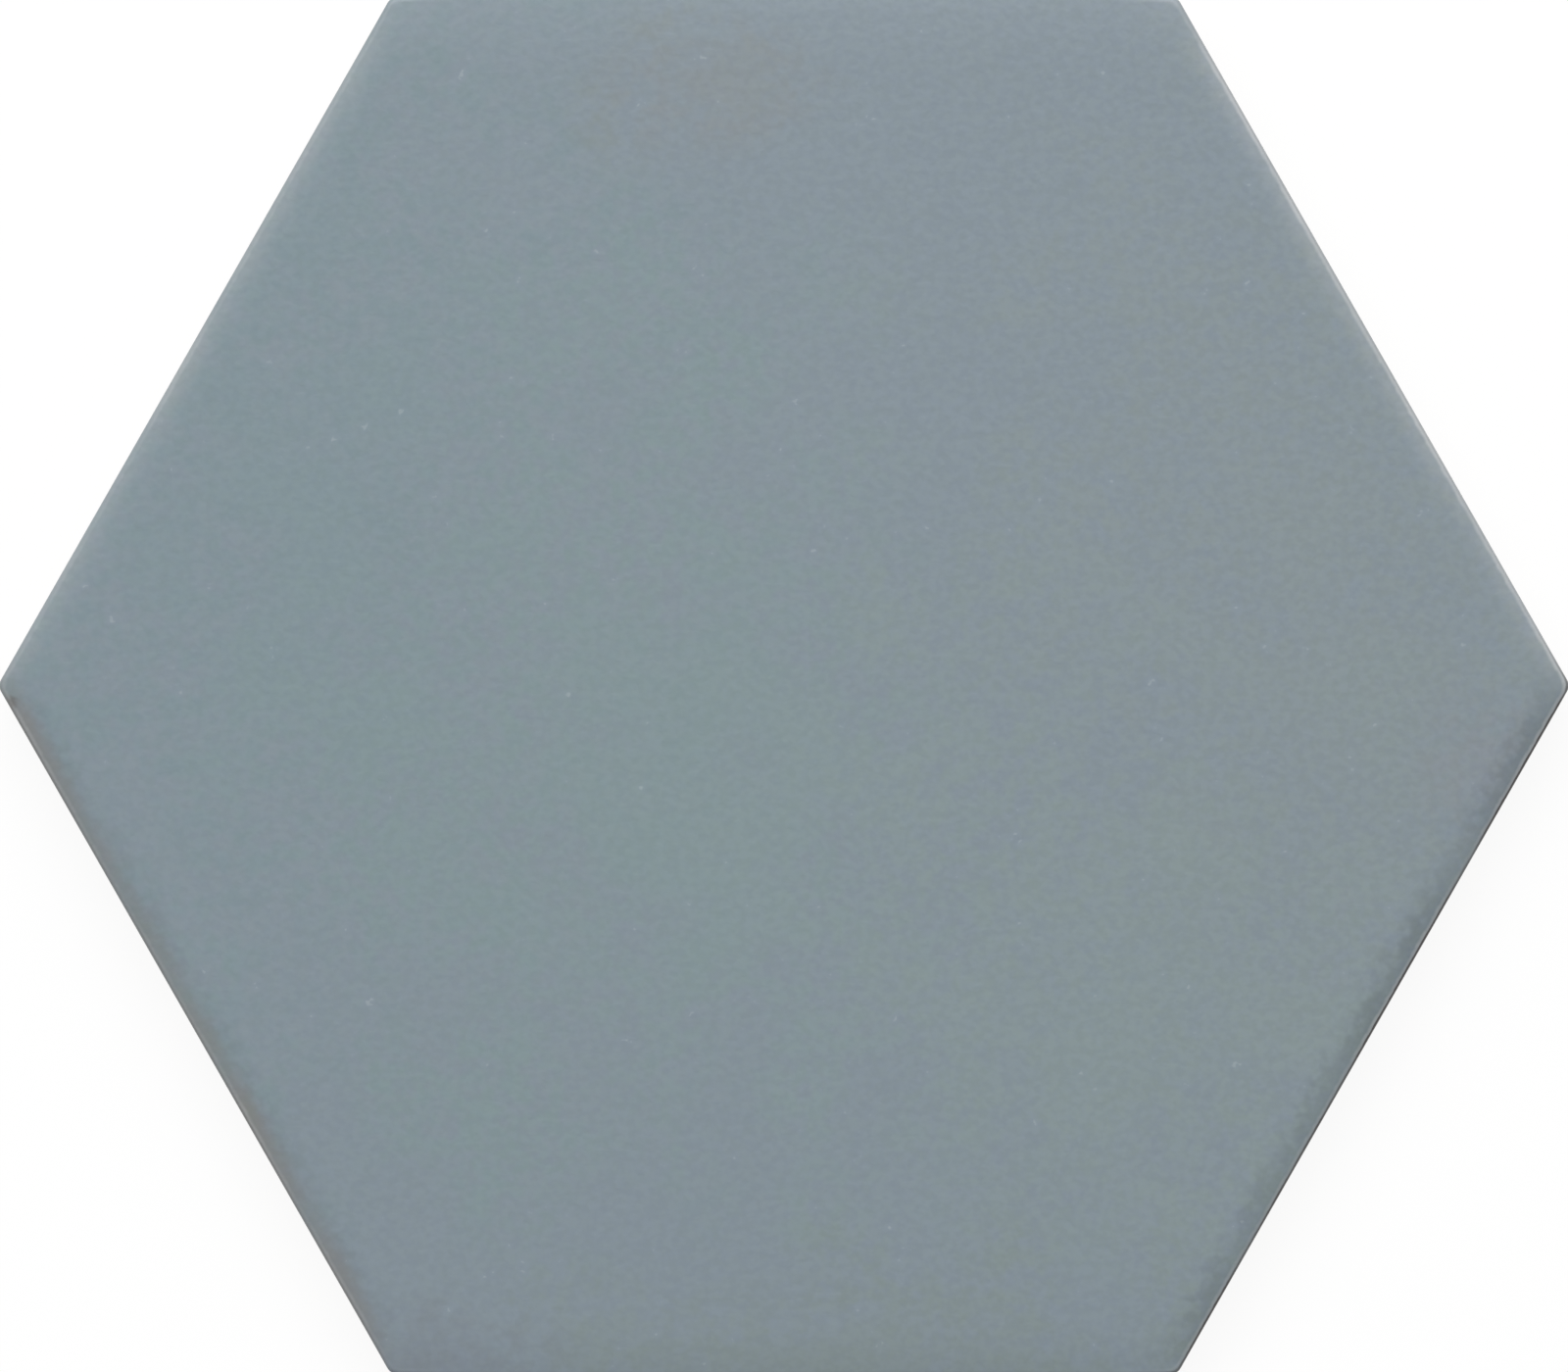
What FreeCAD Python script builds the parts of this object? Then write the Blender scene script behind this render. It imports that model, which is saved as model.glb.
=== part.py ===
import FreeCAD, Part

import math
import os

import Sketcher

# Hexagon floor tile: one pressed and glazed porcelain stoneware piece.
#
# The tile lies on its back. The origin is the middle of the back plane, +Z points out of the
# glazed face, +X runs from point to point and +Y from flat edge to flat edge.
# Lengths are in millimetres, leans in degrees.

# Name, value and meaning of each driving size.
SIZES = (
    ("across_corners", 200.0, "outline, point to point along X"),
    ("across_flats", 175.0, "outline, flat edge to flat edge along Y"),
    ("thickness", 9.0, "back plane to the flat of the glazed face"),
    ("corner_radius", 1.4, "rounding of the six corners, seen from above"),
    ("crown_width", 3.5, "how far inside the outline the face starts to fall"),
    ("crown_drop", 0.65, "how far the face has fallen where it reaches the outline"),
    ("crown_radius", 22.0, "blend between the flat of the face and its falling border"),
    ("arris_radius", 1.0, "rounding between the falling border and the upright side"),
    ("straight_height", 4.2, "top of the side, upright, measured down from the face"),
    ("side_lean", 2.0, "lean of the rest of the side, inwards to the back"),
    ("bevel_width", 0.6, "bevel round the back, the same both ways"),
    ("key_pitch", 14.4, "spacing of the honeycomb keys pressed into the back"),
    ("key_rib", 2.8, "rib left standing between two keys"),
    ("key_depth", 0.7, "depth of a key"),
    ("key_lean", 20.0, "lean of a key's walls, inwards to its floor"),
    ("rim_width", 4.5, "least plain border between the keys and the outline"),
)

# The outline's tip on +X, the corner after it, and the length of a slanting side.
TIP = "(Sizes.across_corners / 2)"
SHOULDER = "(Sizes.across_corners / 4)"
FLAT = "(Sizes.across_flats / 2)"
SLANT = "sqrt(Sizes.across_corners ^ 2 / 16 + Sizes.across_flats ^ 2 / 4)"

UP = FreeCAD.Vector(0, 0, 1)
# Which point of a line or arc a dimension takes, and the two axes that it may refer to.
START, END = range(1, 3)
X_AXIS, Y_AXIS = range(-1, -3, -1)
SKETCH_ORIGIN = (X_AXIS, START)
LEVEL_TOLERANCE = 1e-4
UPRIGHT_SLOPE = 0.01
FACE_SLOPE = 0.5


def fill_sheet(doc):
    """The sheet of driving sizes, one row for each."""
    sheet = doc.addObject("Spreadsheet::Sheet", "Sizes")
    for row, (alias, value, meaning) in enumerate(SIZES, start=1):
        sheet.set(f"A{row}", alias)
        sheet.set(f"B{row}", str(value))
        sheet.set(f"C{row}", meaning)
        sheet.setAlias(f"B{row}", alias)
    doc.recompute()
    return sheet


def add_body(doc, label):
    """An empty body in the tile's own frame."""
    body = doc.addObject("PartDesign::Body", label)
    body.Label = label
    body.Placement = FreeCAD.Placement()
    return body


def add_sketch(body, name, height):
    """A sketch parallel to the back plane, at a height given as an expression."""
    planes = [plane for plane in body.Origin.OriginFeatures if plane.Role == "XY_Plane"]
    sketch = body.newObject("Sketcher::SketchObject", name)
    sketch.AttachmentSupport = (planes[0], "")
    sketch.MapMode = "FlatFace"
    sketch.setExpression("AttachmentOffset.Base.z", height)
    return sketch


def dimension(sketch, name, expression, *constraint):
    """A dimension of a sketch, tied to the sheet."""
    index = sketch.addConstraint(Sketcher.Constraint(*constraint))
    sketch.renameConstraint(index, name)
    sketch.setExpression(f"Constraints.{name}", expression)


def with_next(items):
    """Each item of a closed ring with the one after it."""
    return list(zip(items, items[1:] + items[:1]))


def hexagon(tip, shoulder, flat):
    """Six plan corners, anticlockwise from the tip on +X."""
    xs = (tip, shoulder, -shoulder, -tip, -shoulder, shoulder)
    ys = (0.0, flat, flat, 0.0, -flat, -flat)
    return [FreeCAD.Vector(x, y, 0) for x, y in zip(xs, ys)]


def draw_hexagon(sketch, corners, tip, shoulder, flat, guide=False):
    """Six joined lines, held symmetric about both axes and sized by three expressions."""
    lines = [Part.LineSegment(start, end) for start, end in with_next(corners)]
    sides = list(sketch.addGeometry(lines, guide))
    for side, following in with_next(sides):
        sketch.addConstraint(Sketcher.Constraint("Coincident", side, END, following, START))
    right, upper_right, upper_left, left, lower_left, lower_right = sides
    sketch.addConstraint(Sketcher.Constraint("PointOnObject", right, START, X_AXIS))
    dimension(sketch, "tip", tip, "DistanceX", *SKETCH_ORIGIN, right, START, corners[0].x)
    corner = (*SKETCH_ORIGIN, upper_right, START)
    dimension(sketch, "shoulder", shoulder, "DistanceX", *corner, corners[1].x)
    dimension(sketch, "flat", flat, "DistanceY", *corner, corners[1].y)
    for one, other, axis in (
        (upper_right, upper_left, Y_AXIS),
        (right, left, Y_AXIS),
        (upper_left, lower_left, X_AXIS),
        (upper_right, lower_right, X_AXIS),
    ):
        sketch.addConstraint(Sketcher.Constraint("Symmetric", one, START, other, START, axis))
    return sides


def corner_arc(before, corner, after, radius):
    """The arc that rounds a corner between two straight sides."""
    to_before = (before - corner).normalize()
    to_after = (after - corner).normalize()
    inward = (to_before + to_after).normalize()
    half_angle = to_before.getAngle(to_after) / 2.0
    centre = corner + inward * (radius / math.sin(half_angle))
    facing = math.atan2(-inward.y, -inward.x)
    half_sweep = math.pi / 2.0 - half_angle
    circle = Part.Circle(centre, UP, radius)
    return Part.ArcOfCircle(circle, facing - half_sweep, facing + half_sweep)


def draw_rounded(sketch, guides, corners, radius):
    """Sides that lie on a guide hexagon, joined by equal tangent arcs round its corners."""
    shapes = []
    for index, corner in enumerate(corners):
        after = corners[(index + 1) % len(corners)]
        shapes.append(corner_arc(corners[index - 1], corner, after, radius))
    lines = [Part.LineSegment(arc.EndPoint, later.StartPoint) for arc, later in with_next(shapes)]
    arcs = list(sketch.addGeometry(shapes, False))
    sides = list(sketch.addGeometry(lines, False))
    for side, guide, (arc, following) in zip(sides, guides, with_next(arcs)):
        sketch.addConstraint(Sketcher.Constraint("PointOnObject", side, START, guide))
        sketch.addConstraint(Sketcher.Constraint("PointOnObject", side, END, guide))
        sketch.addConstraint(Sketcher.Constraint("Tangent", arc, END, side, START))
        sketch.addConstraint(Sketcher.Constraint("Tangent", side, END, following, START))
    for arc in arcs[1:]:
        sketch.addConstraint(Sketcher.Constraint("Equal", arcs[0], arc))
    dimension(sketch, "rounding", "Sizes.corner_radius", "Radius", arcs[0], radius)


def edges_of(shape, wanted):
    """The names of a shape's edges that pass a test."""
    return [f"Edge{n}" for n, edge in enumerate(shape.Edges, start=1) if wanted(edge)]


def lies_at(edge, height):
    """Whether an edge lies wholly at one height."""
    box = edge.BoundBox
    return max(abs(box.ZMin - height), abs(box.ZMax - height)) < LEVEL_TOLERANCE


def reaches(edge, height):
    """Whether an edge's highest point is at a height."""
    return abs(edge.BoundBox.ZMax - height) < LEVEL_TOLERANCE


def is_arris(shape, edge):
    """Whether an edge lies between an upright side and the falling border of the face."""
    middle = edge.valueAt((edge.FirstParameter + edge.LastParameter) / 2.0)
    slopes = []
    for face in shape.ancestorsOfType(edge, Part.Face):
        slopes.append(face.normalAt(*face.Surface.parameter(middle)).z)
    return abs(min(slopes)) < UPRIGHT_SLOPE and max(slopes) > FACE_SLOPE


def build_crown_form(doc, size):
    """The wide form whose top has the crown of the face.

    It stands out from the outline by the crown width all round. Its bevel starts as far
    inside the outline, so that it has fallen by the crown drop where it crosses it.
    """
    tip, flat = size("across_corners") / 2.0, size("across_flats") / 2.0
    shoulder = tip / 2.0
    slant, margin = math.hypot(shoulder, flat), size("crown_width")
    body = add_body(doc, "crown_form")
    plan = add_sketch(body, "crown_plan", "0")
    corners = hexagon(
        tip + margin * slant / flat,
        shoulder + margin * (slant - shoulder) / flat,
        flat + margin,
    )
    draw_hexagon(
        plan,
        corners,
        f"{TIP} + Sizes.crown_width * {SLANT} / {FLAT}",
        f"{SHOULDER} + Sizes.crown_width * ({SLANT} - {SHOULDER}) / {FLAT}",
        f"{FLAT} + Sizes.crown_width",
    )
    block = body.newObject("PartDesign::Pad", "crown_block")
    block.Profile = plan
    block.setExpression("Length", "Sizes.thickness")
    doc.recompute()

    level = size("thickness")
    fall = body.newObject("PartDesign::Chamfer", "crown_fall")
    fall.Base = (block, edges_of(block.Shape, lambda edge: lies_at(edge, level)))
    fall.ChamferType = "Two distances"
    fall.setExpression("Size", "2 * Sizes.crown_drop")
    fall.setExpression("Size2", "2 * Sizes.crown_width")
    doc.recompute()

    # The edges round the flat of the face and the six ridges that run down from its corners.
    blend = body.newObject("PartDesign::Fillet", "crown_blend")
    blend.Base = (fall, edges_of(fall.Shape, lambda edge: reaches(edge, level)))
    blend.setExpression("Radius", "Sizes.crown_radius")
    doc.recompute()
    return body


def build_tile(doc, size, crown):
    """The tile with its crowned face, rounded arris, leaning side and bevelled back."""
    tip, flat = size("across_corners") / 2.0, size("across_flats") / 2.0
    corners = hexagon(tip, tip / 2.0, flat)
    body = add_body(doc, "hexagon_tile")
    plan = add_sketch(body, "outline", "Sizes.thickness - Sizes.straight_height")
    guides = draw_hexagon(plan, corners, TIP, SHOULDER, FLAT, guide=True)
    draw_rounded(plan, guides, corners, size("corner_radius"))
    doc.recompute()

    # Upright from the outline to the face, leaning inwards from it to the back.
    blank = body.newObject("PartDesign::Pad", "blank")
    blank.Profile = plan
    blank.SideType = "Two sides"
    blank.setExpression("Length", "Sizes.straight_height")
    blank.setExpression("Length2", "Sizes.thickness - Sizes.straight_height")
    blank.setExpression("TaperAngle2", "-Sizes.side_lean")
    doc.recompute()

    cushion = body.newObject("PartDesign::Boolean", "cushion")
    cushion.Type = "Common"
    cushion.setObjects([crown])
    doc.recompute()

    arris = body.newObject("PartDesign::Fillet", "arris")
    arris.Base = (cushion, edges_of(cushion.Shape, lambda edge: is_arris(cushion.Shape, edge)))
    arris.setExpression("Radius", "Sizes.arris_radius")
    doc.recompute()

    bevel = body.newObject("PartDesign::Chamfer", "back_bevel")
    bevel.Base = (arris, edges_of(arris.Shape, lambda edge: lies_at(edge, 0.0)))
    bevel.setExpression("Size", "Sizes.bevel_width")
    doc.recompute()
    return body


def key_outlines(size):
    """The hexagon mouth of each key that fits inside the plain rim.

    The keys stand on a honeycomb grid centred on the tile. Each has a point on +Y, so that
    the rows of the grid run from point to point of the tile.
    """
    tip, flat = size("across_corners") / 2.0, size("across_flats") / 2.0
    slant = math.hypot(tip / 2.0, flat)
    across, up = flat / slant, tip / 2.0 / slant
    pitch = size("key_pitch")
    row_step = pitch * math.sqrt(3.0) / 2.0
    reach = (pitch - size("key_rib")) / math.sqrt(3.0)
    turns = [math.radians(30.0 + 60.0 * turn) for turn in range(6)]
    mouth = [FreeCAD.Vector(reach * math.cos(a), reach * math.sin(a), 0) for a in turns]
    rows, columns = math.ceil(flat / row_step), math.ceil(tip / pitch)

    def inside(point):
        past_slant = across * abs(point.x) + up * abs(point.y) - across * tip
        past_flat = abs(point.y) - flat
        return max(past_slant, past_flat) <= -size("rim_width")

    outlines = []
    for row in range(-rows, rows + 1):
        for column in range(-columns, columns + 1):
            centre = FreeCAD.Vector((column + row % 2 / 2.0) * pitch, row * row_step, 0)
            outline = [centre + point for point in mouth]
            if all(inside(point) for point in outline):
                outlines.append(outline)
    return outlines


def press_keys(doc, size, body):
    """The honeycomb of shallow keys in the back, with leaning walls."""
    plan = add_sketch(body, "key_plan", "0")
    for outline in key_outlines(size):
        lines = [Part.LineSegment(start, end) for start, end in with_next(outline)]
        plan.addGeometry(lines, False)
    doc.recompute()
    before = body.Shape.Volume
    keys = body.newObject("PartDesign::Pocket", "keys")
    keys.Profile = plan
    keys.Reversed = True
    keys.Refine = False
    keys.setExpression("Length", "Sizes.key_depth")
    keys.setExpression("TaperAngle", "-Sizes.key_lean")
    doc.recompute()
    if not keys.Shape.Volume < before:
        raise ValueError("the keys take nothing out of the back")


def check(doc, pieces):
    """Stops if any feature has failed or a piece has no sound shape."""
    for item in doc.Objects:
        if "Invalid" in item.State or "Error" in item.State:
            raise ValueError(f"{item.Label} failed: {item.State}")
    for piece in pieces:
        if piece.Shape.isNull() or not piece.Shape.isValid():
            raise ValueError(f"{piece.Label} has no sound shape")


def main():
    """Builds the tile and writes it out."""
    doc = FreeCAD.newDocument("hexagon_floor_tile")
    sheet = fill_sheet(doc)

    def size(alias):
        return float(sheet.get(alias))

    crown = build_crown_form(doc, size)
    tile = build_tile(doc, size, crown)
    press_keys(doc, size, tile)
    pieces = [tile]
    check(doc, pieces)
    os.makedirs("parts", exist_ok=True)
    for piece in pieces:
        piece.Shape.exportStep(f"parts/{piece.Label}.step")
        box = piece.Shape.BoundBox
        print(f"{piece.Label}: {box.XLength:.3f} x {box.YLength:.3f} x {box.ZLength:.3f} mm")
        print(f"  {piece.Shape.Volume / 1000.0:.2f} cm3, {len(piece.Shape.Faces)} faces")


main()
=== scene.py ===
"""A hexagon floor tile: one pressed, glazed and once-fired porcelain stoneware piece.

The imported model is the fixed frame. One closed skin takes the place of its solid. It has the
same sizes, and adds the glaze's relief, its run down the side, the pressed clay's unevenness
and the rounded lips of the keys in the back. Shapes are worked out in millimetres, in the
part's own frame: origin in the middle of the back plane, +X point to point, +Y flat edge to
flat edge, +Z out of the glazed face.
"""

import logging
import math
from collections.abc import Iterator, Mapping, Sequence
from dataclasses import dataclass, field
from enum import Enum, IntEnum

import bpy
import numpy as np
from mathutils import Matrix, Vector, noise
from mathutils.geometry import delaunay_2d_cdt


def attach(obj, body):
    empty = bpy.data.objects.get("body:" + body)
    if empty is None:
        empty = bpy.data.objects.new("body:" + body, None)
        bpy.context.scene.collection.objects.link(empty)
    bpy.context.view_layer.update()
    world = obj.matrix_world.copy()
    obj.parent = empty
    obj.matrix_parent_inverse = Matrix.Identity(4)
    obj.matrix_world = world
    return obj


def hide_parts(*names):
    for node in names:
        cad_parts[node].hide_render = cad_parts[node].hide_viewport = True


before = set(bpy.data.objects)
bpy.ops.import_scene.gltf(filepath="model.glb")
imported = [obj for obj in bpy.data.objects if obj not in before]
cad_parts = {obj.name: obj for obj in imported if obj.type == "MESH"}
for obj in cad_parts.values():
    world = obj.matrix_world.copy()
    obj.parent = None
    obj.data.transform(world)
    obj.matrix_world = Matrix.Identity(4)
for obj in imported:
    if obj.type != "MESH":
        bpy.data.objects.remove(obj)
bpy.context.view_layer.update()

MM = 0.001
BODY = "root"
NODE = "hexagon_tile"

SHARP_ANGLE = 32.0
MERGE_DISTANCE = 1e-5
SEED_WAY = (1.0, 1.7, 2.3)
NOISE_SPAN = (0.32, 0.68)
NOISE_ROUGHNESS = 0.6

Tree = bpy.types.NodeTree
Socket = bpy.types.NodeSocket
Value = Socket | float | Sequence[float]

log = logging.getLogger("hexagon_tile")


class PointSeed(IntEnum):
    """One number for each pattern that is worked out at the points of the skin."""

    SAG = 3
    RIPPLE = 5
    SWELL = 11
    PATCH = 23
    MARGIN = 29
    MARGIN_FRILL = 31
    DENTS = 37
    BACK = 41
    COAST = 51


class ShaderSeed(IntEnum):
    """One number for each pattern that a material draws."""

    FIRED = 1
    GROG = 2
    SCUFF = 4
    WASH = 6
    GRIT = 7
    DRAG = 8
    CLOUDS = 21
    GRAIN = 31
    FRAY = 33
    PEEL = 35
    FRILL = 36
    HUE = 37


def linear(code: str) -> tuple[float, float, float, float]:
    """Turns an sRGB hex colour into linear light, by the standard's own curve.

    Args:
        code: The colour as "#rrggbb".

    Returns:
        Red, green, blue and an alpha of 1.
    """
    shares = [int(code[i : i + 2], 16) / 255.0 for i in (1, 3, 5)]
    red, green, blue = (
        share / 12.92 if share <= 0.04045 else ((share + 0.055) / 1.055) ** 2.4 for share in shares
    )
    return red, green, blue, 1.0


def ease(values: np.ndarray, start: float, end: float) -> np.ndarray:
    """Rises smoothly from 0 at start to 1 at end.

    Args:
        values: Where to read the rise.
        start: The value at which it is 0.
        end: The value at which it is 1, on either side of start.

    Returns:
        The rise at each value.
    """
    share = np.clip((values - start) / (end - start), 0.0, 1.0)
    return share * share * (3.0 - 2.0 * share)


def wander(points: np.ndarray, lengths: Sequence[float] | float, seed: PointSeed) -> np.ndarray:
    """Smooth unevenness, the same every run.

    Args:
        points: One row of two or three coordinates for each place, in mm.
        lengths: Distance between two bumps, or one for each coordinate, in mm.
        seed: Which pattern. It moves it along SEED_WAY, so that no two match.

    Returns:
        A value for each place, mostly from -0.5 to 0.5.
    """
    scaled = points / np.asarray(lengths)
    if scaled.shape[1] == 2:
        scaled = np.column_stack((scaled, np.zeros(len(scaled))))
    offset = Vector([seed * way for way in SEED_WAY])
    return np.array([noise.noise(Vector(row) + offset) for row in scaled])


def arc(centre: np.ndarray, radius: float, angles: np.ndarray) -> np.ndarray:
    """Points of a circle at the given angles, one row each."""
    return centre + radius * np.column_stack((np.cos(angles), np.sin(angles)))


def join_arcs(arcs: list[np.ndarray], steps: int) -> np.ndarray:
    """Joins arcs to a closed ring.

    Args:
        arcs: The points of each, anticlockwise.
        steps: How many steps the straight line from one to the next has.

    Returns:
        The points of the ring.
    """
    shares = np.linspace(0.0, 1.0, steps + 1)[1:-1, None]
    parts = []
    for bend, following in zip(arcs, arcs[1:] + arcs[:1]):
        parts += [bend, bend[-1] + shares * (following[0] - bend[-1])]
    return np.vstack(parts)


def add_object(name: str, data: bpy.types.ID) -> bpy.types.Object:
    """Adds an object to the scene.

    Args:
        name: Its name.
        data: Its mesh, lamp or camera.

    Returns:
        The object.
    """
    made = bpy.data.objects.new(name, data)
    bpy.context.scene.collection.objects.link(made)
    return made


class Finish(IntEnum):
    """The finishes of the tile's skin, numbered as its material slots."""

    FACE = 0
    EDGE = 1
    RUN = 2
    SIDE = 3
    BACK = 4


class Mark(IntEnum):
    """What each point of the skin tells the finishes, besides its place.

    COVER is how far it is above the lower margin of the glaze, and INSET how far inside the
    outline, both in mm. The others are shares: a thin pale line of glaze, a pale band that is
    partly thin glaze and partly painted highlight, a dark band of painted shade, a warm tint of
    the clay, and a dark outline of painted shade at the foot of the arris, where the glaze also
    draws back.
    """

    COVER = 0
    INSET = 1
    LINE = 2
    GLOW = 3
    PAINTED_SHADE = 4
    WARM = 5
    BARE_AND_OUTLINE_SHADE = 6


@dataclass(frozen=True)
class HexagonPlan:
    """The tile's outline seen from above, and every line that runs beside it further in.

    Its corners are a little rounder than the solid's, so that the skin stays inside it. They
    open out further in, by a share of the inset, as glaze softens the ridges of the crown.
    """

    across_corners: float = 200.0
    across_flats: float = 175.0
    corner_radius: float = 1.42
    corner_opening: float = 0.8
    side_steps: int = 183
    corner_steps: int = 6

    @property
    def normals(self) -> np.ndarray:
        """Outward directions of the six sides.

        Returns:
            One row for each, anticlockwise from the upper right side.
        """
        tip, flat = self.across_corners / 2.0, self.across_flats / 2.0
        slant = math.hypot(tip / 2.0, flat)
        across, up = flat / slant, tip / 2.0 / slant
        return np.array(
            ((across, up), (0, 1), (-across, up), (-across, -up), (0, -1), (across, -up))
        )

    @property
    def reaches(self) -> np.ndarray:
        """Distance of each side from the middle of the tile.

        Returns:
            One value for each, in the same order.
        """
        tip, flat = self.across_corners / 2.0, self.across_flats / 2.0
        slanting = self.normals[0, 0] * tip
        return np.array((slanting, flat, slanting, slanting, flat, slanting))

    def depths(self, places: np.ndarray) -> np.ndarray:
        """How far each place lies inside each of the six sides, one row for each place."""
        return self.reaches - places @ self.normals.T

    def loop(self, inset: float) -> np.ndarray:
        """A rounded hexagon beside the outline.

        Every loop has the same number of points, in the same order.

        Args:
            inset: Distance inside the outline.

        Returns:
            Its points, anticlockwise from the tip on +X.
        """
        radius = self.corner_radius + self.corner_opening * max(inset, 0.0)
        arcs = []
        for side, normal in enumerate(self.normals):
            before = self.normals[side - 1]
            lines = np.array((before, normal))
            corner = np.linalg.solve(lines, self.reaches[[side - 1, side]] - inset)
            middle = (before + normal) / np.linalg.norm(before + normal)
            centre = corner - middle * radius / float(middle @ normal)
            start, end = (math.atan2(way[1], way[0]) for way in (before, normal))
            sweep = (end - start) % (2.0 * math.pi)
            angles = start + sweep * np.linspace(0.0, 1.0, self.corner_steps + 1)
            arcs.append(arc(centre, radius, angles))
        return join_arcs(arcs, self.side_steps)

    def lattice(self, spacing: float, inset: float) -> np.ndarray:
        """Points of an even triangular grid.

        Args:
            spacing: Distance between two neighbours.
            inset: Least distance inside the outline.

        Returns:
            The grid's points.
        """
        step = spacing * math.sqrt(3.0) / 2.0
        rows = math.ceil(self.across_flats / 2.0 / step)
        columns = math.ceil(self.across_corners / 2.0 / spacing) + 1
        grid = np.array(
            [
                ((column + row % 2 / 2.0) * spacing, row * step)
                for row in range(-rows, rows + 1)
                for column in range(-columns, columns + 1)
            ]
        )
        return grid[self.depths(grid).min(axis=1) > inset]


@dataclass
class TileSkin:
    """The tile's closed skin while it is being shaped."""

    points: list[np.ndarray] = field(default_factory=list)
    marks: list[np.ndarray] = field(default_factory=list)
    faces: list[tuple[int, ...]] = field(default_factory=list)
    finishes: list[int] = field(default_factory=list)

    def add(self, places: np.ndarray, heights: np.ndarray | float,
            marks: Mapping[Mark, np.ndarray | float] | None = None) -> np.ndarray:
        """Adds points to the skin.

        Args:
            places: Their plan positions, one row each.
            heights: Their heights above the back plane.
            marks: What they tell the finishes, 0 for what isn't named.

        Returns:
            Their numbers.
        """
        count, first = len(places), len(self.points)
        self.points += list(np.column_stack((places, np.broadcast_to(heights, count))))
        rows = np.zeros((count, len(Mark)))
        for mark, values in (marks or {}).items():
            rows[:, mark] = values
        self.marks += list(rows)
        return np.arange(first, first + count)

    def join(self, lower: np.ndarray, upper: np.ndarray, finish: Finish) -> None:
        """Joins two rings by four-sided faces.

        Args:
            lower: The ring that the skin comes from, anticlockwise.
            upper: The ring that it goes on to.
            finish: Its finish.
        """
        corners = (lower, np.roll(lower, -1), np.roll(upper, -1), upper)
        self.faces += [tuple(face) for face in np.column_stack(corners).tolist()]
        self.finishes += [int(finish)] * len(lower)

    def fill(self, rim: np.ndarray, holes: Sequence[np.ndarray], loose: np.ndarray,
             finish: Finish, downwards: bool) -> None:
        """Fills a ring with triangles.

        Args:
            rim: The ring, anticlockwise.
            holes: Rings inside it that stay open.
            loose: Points inside it that the triangles pass through.
            finish: Their finish.
            downwards: Whether they face down.
        """
        numbers = np.concatenate([rim, *holes, loose]).astype(int)
        place_of = {int(number): place for place, number in enumerate(numbers)}
        flat = [Vector(self.points[number][:2]) for number in numbers]
        loops = [[place_of[int(number)] for number in ring] for ring in (rim, *holes)]
        filled = delaunay_2d_cdt(flat, [], loops, 1, MERGE_DISTANCE, True)
        _, _, triangles, sources, _, owners = filled
        for triangle, owner in zip(triangles, owners):
            in_rim_only = list(owner) == [0]
            if in_rim_only:
                face = [int(numbers[sources[corner][0]]) for corner in triangle]
                self.faces.append(tuple(reversed(face)) if downwards else tuple(face))
                self.finishes.append(int(finish))

    def to_object(self, name: str) -> bpy.types.Object:
        """Makes the skin a Blender object, in metres.

        Args:
            name: The object's name.

        Returns:
            The object, shaded smooth except along its sharp edges.
        """
        mesh = bpy.data.meshes.new(name)
        mesh.from_pydata((np.array(self.points) * MM).tolist(), [], self.faces)
        mesh.polygons.foreach_set("material_index", self.finishes)
        for mark, values in zip(Mark, np.array(self.marks).T):
            layer = mesh.attributes.new(mark.name.lower(), "FLOAT", "POINT")
            layer.data.foreach_set("value", values.tolist())
        mesh.shade_smooth()
        mesh.set_sharp_from_angle(angle=math.radians(SHARP_ANGLE))
        mesh.update()
        return add_object(name, mesh)


@dataclass(frozen=True)
class Border:
    """One side of the face: how it falls to the outline, and how the glaze lies along it.

    The fall, its width and the radius of the arris are in mm. The others are shares: line where
    the glaze ran thin over the arris, glow where it ran thin and where a highlight is painted on
    the upper slopes, a dark band of painted shade inside the lower arrises, warm where the clay
    tints it, and a dark outline of painted shade at the foot of the arris, where the glaze also
    drew back.
    """

    fall: float
    width: float = 5.5
    power: float = 2.6
    arris: float = 1.0
    line: float = 0.0
    glow: float = 0.0
    painted_shade: float = 0.0
    warm: float = 0.0
    bare_and_outline_shade: float = 0.0


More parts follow.
